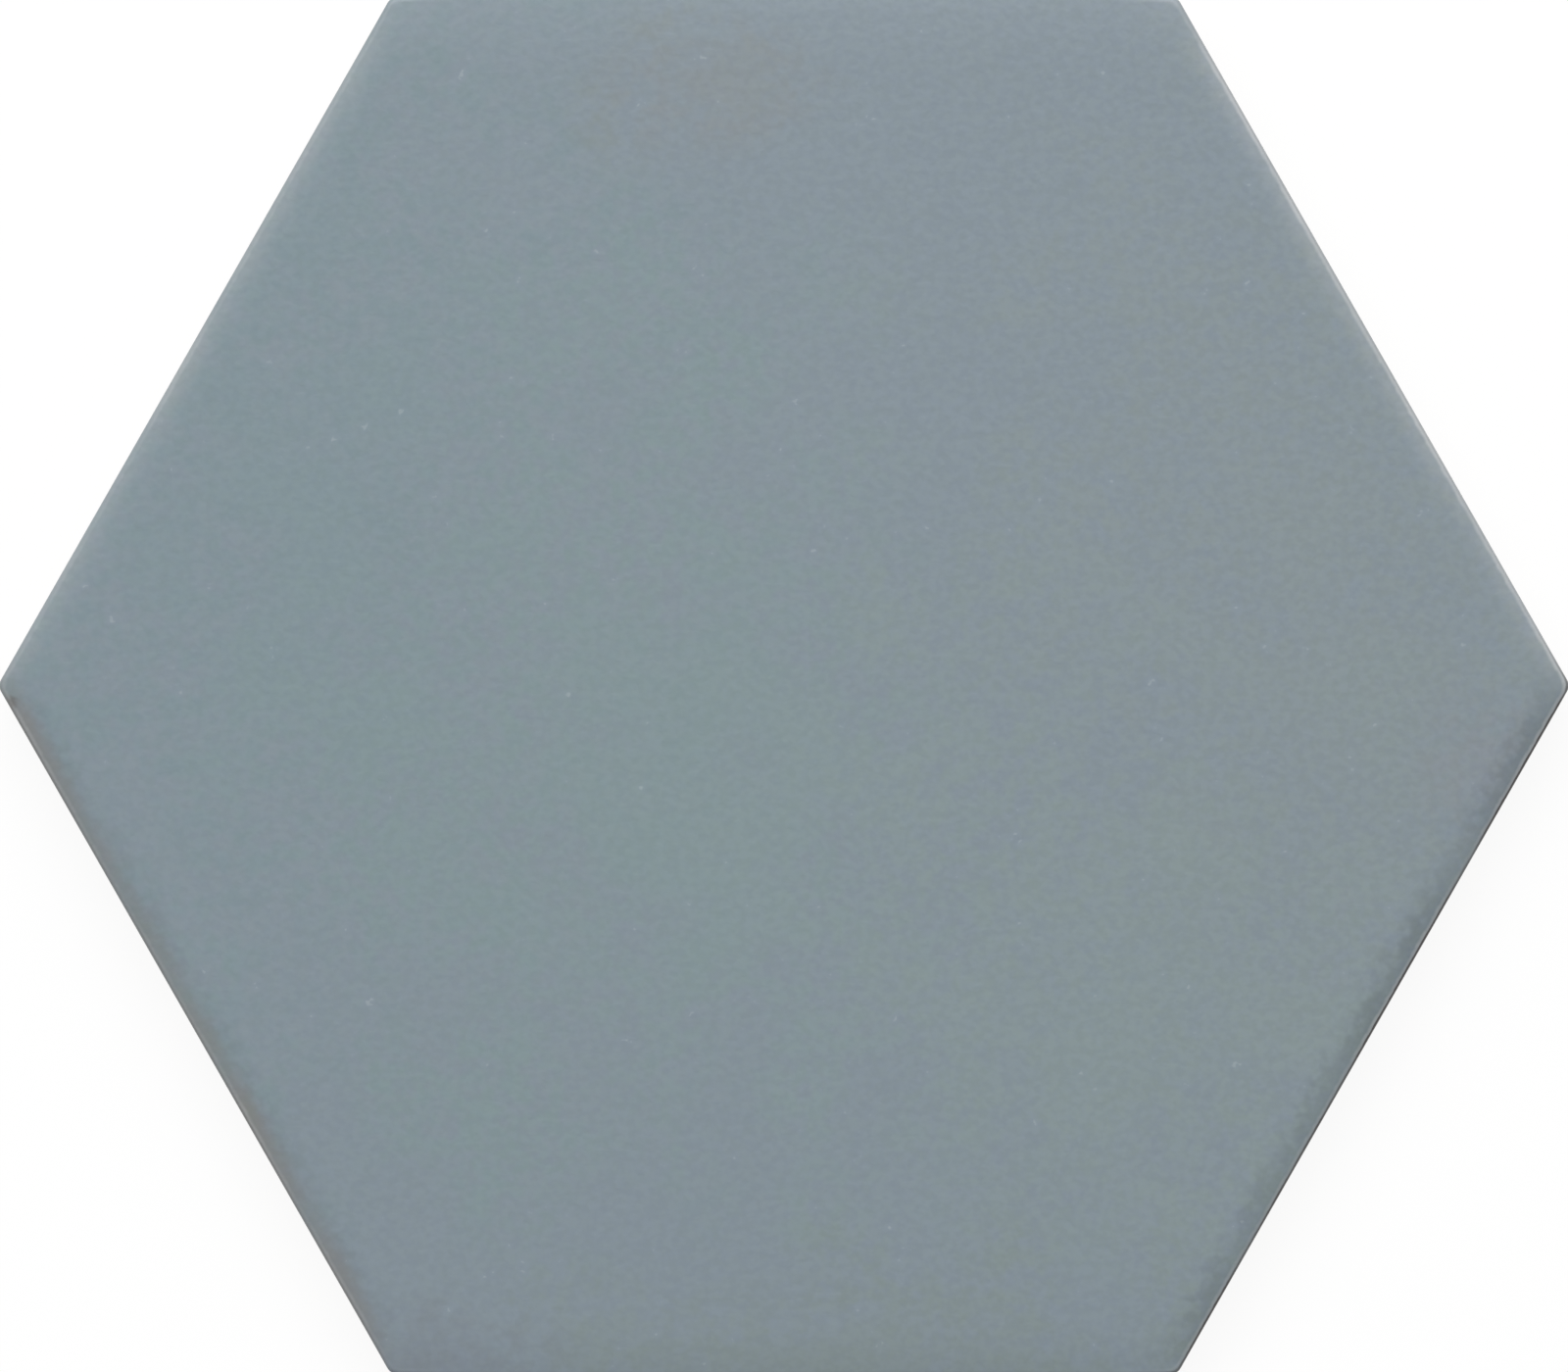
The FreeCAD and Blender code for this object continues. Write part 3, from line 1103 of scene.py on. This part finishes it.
@dataclass(frozen=True)
class SatinGlaze:
    """Fired satin glaze: a soft broad sheen over an opaque blue-grey that drifts in hue.

    Its grain is finer in the kiln's own work. It is drawn as coarse as it needs to show, and
    stronger from the left to the right over grain_span; its pale and deep coat is partly the
    glaze's own grain and partly painted highlight and painted shade of its fine relief. Painted
    pin-point highlights lie where the clouds, the grain and the hue all come near their peaks.
    The last pool is a small dark spot at the left tip.
    """

    clay: Clay
    tone: str = "#7a8790"
    pools: tuple[TintPool, ...] = (
        TintPool("#74878d", (-56.0, 22.0), (42.0, 64.0), 0.8),
        TintPool("#798c8e", (-16.0, -12.0), (42.0, 50.0), 0.65),
        TintPool("#7d898c", (69.0, -8.0), (44.0, 76.0), 0.8),
        TintPool("#7d8f8f", (42.0, -42.0), (38.0, 40.0), 0.35),
        TintPool("#788585", (6.0, -88.0), (52.0, 14.0), 0.7),
        TintPool("#7f8485", (-11.0, 75.0), (13.0, 8.0), 0.5),
        TintPool("#757e8a", (-44.0, -86.0), (12.0, 7.0), 0.6),
        TintPool("#7f7f8b", (90.0, -12.0), (8.0, 10.0), 0.3),
        # A small dark spot at the left tip.
        TintPool("#3e3d3a", (-98.15, -2.3), (0.8, 0.7), 0.75),
    )
    runs: tuple[EdgeRun, ...] = (
        # Glow: a pale band, partly thin glaze and partly painted highlight on the upper slopes.
        EdgeRun(Mark.GLOW, "#cdc9c9", 0.2, 3.4, 0.5),
        # Painted shade: a dark ragged band inside the lower arrises.
        EdgeRun(Mark.PAINTED_SHADE, "#4c5558", 1.0, 4.6, 1.9),
        EdgeRun(Mark.WARM, "#8a7b6c", 0.5, 3.5, 0.3),
        EdgeRun(Mark.LINE, "#cacccd", 0.46, 0.92, 0.12),
        # Dark outline at the foot of the arris: painted shade, strongest on the lower right.
        EdgeRun(Mark.BARE_AND_OUTLINE_SHADE, "#2a2422", 0.24, 0.44, 0.05),
    )
    frill_length: float = 1.5
    coast_length: float = 12.0
    coast_reach: float = 0.38
    cloud_length: float = 3.0
    cloud_reach: float = 0.4
    # Grain colours: partly the glaze's own grain, partly painted highlight and painted shade of
    # its fine relief.
    pale_grain_and_highlight: str = "#a3b4b8"
    deep_grain_and_shade: str = "#526061"
    grain_length: float = 1.0
    grain_stretch: float = 1.15
    grain_share: tuple[float, float] = (0.043, 0.058)
    grain_span: tuple[float, float] = (-20.0, 70.0)
    olive_grain: str = "#858871"
    lilac_grain: str = "#7f7f9c"
    hue_length: float = 1.2
    # Painted pin-point highlights: pale flecks where the glaze's patterns peak.
    painted_glint: str = "#c3cccb"
    painted_glint_start: float = 2.86
    painted_glint_full: float = 3.0
    painted_glint_share: float = 0.16
    roughness: float = 0.42
    roughness_drift: float = 0.03
    bare_roughness: float = 0.88
    ior: float = 1.5
    margin_fray: float = 0.12
    margin_fade: float = 0.1
    fray_length: float = 0.6
    peel_height: float = 0.010

    def face(self, name: str, edge: bool) -> bpy.types.Material:
        """Makes the glaze of the face.

        Args:
            name: The material's name.
            edge: Whether it also shows how the glaze lies near the outline, with its painted
                highlight and painted shade.

        Returns:
            The material.
        """
        material = new_material(name)
        tree = material.node_tree
        place = place_in_mm(tree)
        clouds = self.clouds(tree, place)
        gloss = add_node(tree, "MapRange", {},
                         {"Value": clouds, "To Min": self.roughness - self.roughness_drift,
                          "To Max": self.roughness + self.roughness_drift})
        self.finish(tree, place, self.colour(tree, place, clouds, edge), gloss)
        return material

    def run(self) -> bpy.types.Material:
        """Makes the glaze that ran down the side, and the bare clay below its margin.

        Returns:
            The material.
        """
        material = new_material("satin_glaze_run")
        tree = material.node_tree
        place = place_in_mm(tree)
        cover = add_node(tree, "Attribute", {"attribute_name": Mark.COVER.name.lower()},
                         result="Fac")
        fray = mottle(tree, place, self.fray_length, ShaderSeed.FRAY, self.margin_fray,
                      -self.margin_fray)
        margin = add_node(tree, "Math", {"operation": "ADD"},
                          {"Value": cover, "Value_001": fray})
        glazed = add_node(tree, "MapRange", {"interpolation_type": "SMOOTHSTEP"},
                          {"Value": margin, "From Min": -self.margin_fade,
                           "From Max": self.margin_fade})
        clouds = self.clouds(tree, place)
        tone = self.colour(tree, place, clouds, edge=True)
        gloss = add_node(tree, "MapRange", {},
                         {"Value": glazed, "To Min": self.bare_roughness,
                          "To Max": self.roughness})
        self.finish(tree, place, coated(tree, self.clay.colour(tree), ((glazed, tone),)), gloss)
        return material

    def clouds(self, tree: Tree, place: Socket) -> Socket:
        """The unevenness that breaks up the drifts of the glaze's colour and its sheen."""
        return mottle(tree, place, self.cloud_length, ShaderSeed.CLOUDS)

    def tint(self, tile: bpy.types.Object) -> None:
        """Writes the wide drifts of the glaze's colour to the points of the skin.

        A coastline draws the edge of each pool in and out, and the thin and the dense colours
        lie a cloud's reach on either side of it.

        Args:
            tile: The skin.
        """
        points = np.empty(3 * len(tile.data.vertices))
        tile.data.vertices.foreach_get("co", points)
        places = points.reshape(-1, 3)[:, :2] / MM
        coast = wander(places, self.coast_length, PointSeed.COAST)
        coast = 2.0 * self.coast_reach * coast
        for drift, edge in ((Drift.THIN, self.cloud_reach), (Drift.DENSE, -self.cloud_reach)):
            tones = np.tile(linear(self.tone), (len(places), 1))
            for pool in self.pools:
                share = pool.share(places, coast + edge)
                tones += share[:, None] * (np.array(linear(pool.tint)) - tones)
            layer = tile.data.attributes.new(drift.value, "FLOAT_COLOR", "POINT")
            layer.data.foreach_set("color", tones.ravel())

    def colour(self, tree: Tree, place: Socket, clouds: Socket, edge: bool) -> Value:
        """The glaze's colour, from its wide drifts to its finest grain, with painted pin-point
        highlights.

        Args:
            tree: The tree to add it to.
            place: The place in mm.
            clouds: How far it goes from its dense to its thin tone, from 0 to 1.
            edge: Whether it also shows how the glaze lies near the outline, with its painted
                highlight and painted shade.

        Returns:
            The colour.
        """
        streak = (self.grain_length * self.grain_stretch, self.grain_length, self.grain_length)
        grain = mottle(tree, place, streak, ShaderSeed.GRAIN, detail=1.0)
        hue = mottle(tree, place, self.hue_length, ShaderSeed.HUE, detail=1.0)
        across = add_node(tree, "SeparateXYZ", {}, {"Vector": place}, "X")
        left, right = self.grain_span
        faint, strong = self.grain_share
        strength = add_node(tree, "MapRange", {},
                            {"Value": across, "From Min": left, "From Max": right,
                             "To Min": faint, "To Max": strong})
        peaks = clouds
        for cloud in (grain, hue):
            peaks = add_node(tree, "Math", {"operation": "ADD"},
                             {"Value": peaks, "Value_001": cloud})
        painted_glint = add_node(tree, "MapRange", {"interpolation_type": "SMOOTHSTEP"},
                         {"Value": peaks, "From Min": self.painted_glint_start,
                          "From Max": self.painted_glint_full, "To Min": 0.0,
                          "To Max": self.painted_glint_share})
        thin, dense = (
            add_node(tree, "Attribute", {"attribute_name": drift.value}, result="Color")
            for drift in Drift
        )
        coats = [
            (clouds, thin),
            # Pale and deep grain: partly the glaze's grain, partly painted highlight and painted
            # shade of its fine relief.
            (strength, coated(tree, linear(self.deep_grain_and_shade), ((grain, linear(self.pale_grain_and_highlight)),))),
            (strength, coated(tree, linear(self.olive_grain), ((hue, linear(self.lilac_grain)),))),
            # Painted pin-point highlights.
            (painted_glint, linear(self.painted_glint)),
        ]
        if edge:
            coats += self.edge_coats(tree, place)
        return coated(tree, dense, coats)

    def edge_coats(self, tree: Tree, place: Socket) -> list[tuple[Value, Value]]:
        """Draws how the glaze lies near the outline, with its painted highlight and painted shade.

        Args:
            tree: The tree to add it to.
            place: The place in mm.

        Returns:
            The share and the colour of each way that it lies.
        """
        frill = mottle(tree, place, self.frill_length, ShaderSeed.FRILL, high=0.5, low=-0.5,
                       detail=1.0)
        inset = add_node(tree, "Attribute", {"attribute_name": Mark.INSET.name.lower()},
                         result="Fac")
        coats = []
        for run in self.runs:
            ragged = add_node(tree, "Math", {"operation": "MULTIPLY_ADD"},
                              {"Value": frill, "Value_001": run.frill, "Value_002": inset})
            reach = add_node(tree, "MapRange", {"interpolation_type": "SMOOTHSTEP"},
                             {"Value": ragged, "From Min": run.last, "From Max": run.full})
            amount = add_node(tree, "Attribute",
                              {"attribute_name": run.mark.name.lower()}, result="Fac")
            share = add_node(tree, "Math", {"operation": "MULTIPLY"},
                             {"Value": reach, "Value_001": amount})
            coats.append((share, linear(run.tint)))
        return coats

    def finish(self, tree: Tree, place: Socket, tone: Value, gloss: Value) -> None:
        """Adds the shader, with the faint orange peel that a satin glaze cools to.

        Args:
            tree: The tree to add it to.
            place: The place in mm.
            tone: The colour.
            gloss: The roughness.
        """
        peel = mottle(tree, place, self.grain_length, ShaderSeed.PEEL, detail=0.0)
        skin = add_node(tree, "Bump", {},
                        {"Strength": 1.0, "Distance": self.peel_height * MM, "Height": peel})
        shader = add_node(tree, "BsdfPrincipled", {},
                          {"Base Color": tone, "Roughness": gloss, "IOR": self.ior,
                           "Normal": skin})
        add_node(tree, "OutputMaterial", {}, {"Surface": shader})


@dataclass(frozen=True)
class HexagonTile:
    """The whole tile: glazed face, side and keyed back in one closed skin."""

    plan: HexagonPlan = HexagonPlan()
    borders: Borders = Borders()
    clay: Clay = Clay()

    def build(self) -> bpy.types.Object:
        """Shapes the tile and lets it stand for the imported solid.

        Returns:
            The tile.
        """
        skin = TileSkin()
        face = GlazedFace(self.plan, self.borders)
        arris_foot = face.build(skin)
        rim = PressedSide(self.plan, face).build(skin, arris_foot)
        keys = KeyedBack(self.plan).build(skin, rim)
        log.info("skin: %d points, %d faces, %d keys", len(skin.points), len(skin.faces), keys)
        tile = skin.to_object("glazed_tile")
        self.dress(tile)
        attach(tile, BODY)
        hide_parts(NODE)
        return tile

    def dress(self, tile: bpy.types.Object) -> None:
        """Gives the tile its finishes, in the order of their slots.

        Args:
            tile: The tile.
        """
        glaze = SatinGlaze(self.clay)
        glaze.tint(tile)
        finishes = {
            Finish.FACE: glaze.face("satin_glaze", edge=False),
            Finish.EDGE: glaze.face("satin_glaze_edge", edge=True),
            Finish.RUN: glaze.run(),
            Finish.SIDE: Biscuit("bare_biscuit_side", self.clay).build(),
            Finish.BACK: Biscuit("washed_biscuit_back", self.clay, wash=0.75).build(),
        }
        for finish in Finish:
            tile.data.materials.append(finishes[finish])


class Background(Enum):
    """What the camera and mirror-like surfaces see behind the tile."""

    WHITE = "#ffffff"


@dataclass(frozen=True)
class Floor:
    """The plain pale floor that the tile lies on."""

    width: float = 8.0
    gap: float = 0.02
    tone: str = "#c8c8c6"
    glow: float = 0.9

    def build(self) -> bpy.types.Object:
        """Makes the floor, which shows white and keeps the tile's shadow.

        Returns:
            The floor.
        """
        half, low = self.width / 2.0, -self.gap * MM
        corners = [(-half, -half, low), (half, -half, low), (half, half, low), (-half, half, low)]
        mesh = bpy.data.meshes.new("floor")
        mesh.from_pydata(corners, [], [(0, 1, 2, 3)])
        mesh.materials.append(self.finish())
        floor = add_object("floor", mesh)
        return floor

    def finish(self) -> bpy.types.Material:
        """Makes matt white paper for the camera, and a paler bounce for the tile's edges.

        Returns:
            The material.
        """
        material = new_material("matt_floor")
        tree = material.node_tree
        seen = seen_directly(tree)
        tone = coated(tree, linear(self.tone), ((seen, linear(Background.WHITE.value)),))
        paper = add_node(tree, "BsdfDiffuse", {}, {"Color": tone})
        glow = add_node(tree, "Emission", {}, {"Strength": 1.0})
        share = add_node(tree, "Math", {"operation": "MULTIPLY"},
                         {"Value": seen, "Value_001": self.glow})
        mixed = add_node(tree, "MixShader", {},
                         {"Fac": share, "Shader": paper, "Shader_001": glow})
        add_node(tree, "OutputMaterial", {}, {"Surface": mixed})
        return material


def seen_directly(tree: Tree) -> Socket:
    """Tells the rays by which the camera sees, itself or by way of a gloss or glass.

    Args:
        tree: The tree to add it to.

    Returns:
        1 for those rays and 0 for the others.
    """
    seen = add_node(tree, "LightPath", result="Is Camera Ray")
    for name in ("Is Glossy Ray", "Is Transmission Ray"):
        way = add_node(tree, "LightPath", result=name)
        seen = add_node(tree, "Math", {"operation": "MAXIMUM"},
                        {"Value": seen, "Value_001": way})
    return seen


@dataclass(frozen=True)
class Softbox:
    """A large soft lamp. Its glow is measured against a white surface in plain light."""

    name: str
    place: tuple[float, float, float]
    width: float
    height: float
    glow: float

    def build(self) -> bpy.types.Object:
        """Makes the lamp and turns it to the tile.

        Returns:
            The lamp.
        """
        lamp = bpy.data.lights.new(self.name, "AREA")
        lamp.shape = "RECTANGLE"
        lamp.size, lamp.size_y = self.width, self.height
        lamp.energy = self.glow * math.pi * self.width * self.height
        holder = add_object(self.name, lamp)
        holder.location = self.place
        holder.rotation_euler = (-Vector(self.place)).to_track_quat("-Z", "Y").to_euler()
        holder.visible_camera = False
        return holder


@dataclass(frozen=True)
class Sky:
    """The even light of the studio's walls, white where it is seen."""

    level: float = 0.4

    def build(self) -> bpy.types.World:
        """Makes the world that the scene is in.

        Returns:
            The world.
        """
        world = bpy.data.worlds.new("studio_walls")
        world.use_nodes = True
        tree = world.node_tree
        tree.nodes.clear()
        strength = add_node(tree, "MapRange", {},
                            {"Value": seen_directly(tree), "To Min": self.level, "To Max": 1.0})
        light = add_node(tree, "Background", {},
                         {"Color": linear(Background.WHITE.value), "Strength": strength})
        add_node(tree, "OutputWorld", {}, {"Surface": light})
        bpy.context.scene.world = world
        return world


@dataclass(frozen=True)
class OverheadCamera:
    """The camera straight above the tile, with a long lens, as the photograph was taken.

    The lens and sensor, the width that it frames at the outline's height and the place of its
    middle are in mm. Its nearest and farthest sight are in metres.
    """

    lens: float = 150.0
    sensor: float = 36.0
    frame_width: float = 199.38
    outline_level: float = 7.6
    centre_x: float = 0.0
    centre_y: float = -0.05
    near: float = 0.01
    far: float = 20.0

    def build(self) -> bpy.types.Object:
        """Makes the camera that the scene is seen by.

        Returns:
            The camera.
        """
        camera = bpy.data.cameras.new("overhead")
        camera.lens, camera.sensor_width = self.lens, self.sensor
        camera.clip_start, camera.clip_end = self.near, self.far
        holder = add_object("overhead", camera)
        height = self.outline_level + self.frame_width * self.lens / self.sensor
        holder.location = (self.centre_x * MM, self.centre_y * MM, height * MM)
        bpy.context.scene.camera = holder
        return holder


@dataclass(frozen=True)
class Studio:
    """Floor, light and camera."""

    floor: Floor = Floor()
    sky: Sky = Sky()
    lamps: tuple[Softbox, ...] = (
        Softbox("upper_softbox", (-0.20, 1.56, 1.56), 3.2, 1.8, 3.34),
    )
    camera: OverheadCamera = OverheadCamera()

    def build(self) -> None:
        """Sets the studio up and keeps colours as they are written."""
        for part in (self.floor, self.sky, *self.lamps, self.camera):
            made = part.build()
            log.info("studio: %s", made.name)
        bpy.context.scene.view_settings.view_transform = "Standard"


def main() -> None:
    """Builds the tile and the studio round it."""
    logging.basicConfig(level=logging.INFO, format="%(name)s: %(message)s")
    tile = HexagonTile().build()
    log.info("%s: %d vertices", tile.name, len(tile.data.vertices))
    Studio().build()


if __name__ == "__main__":
    main()
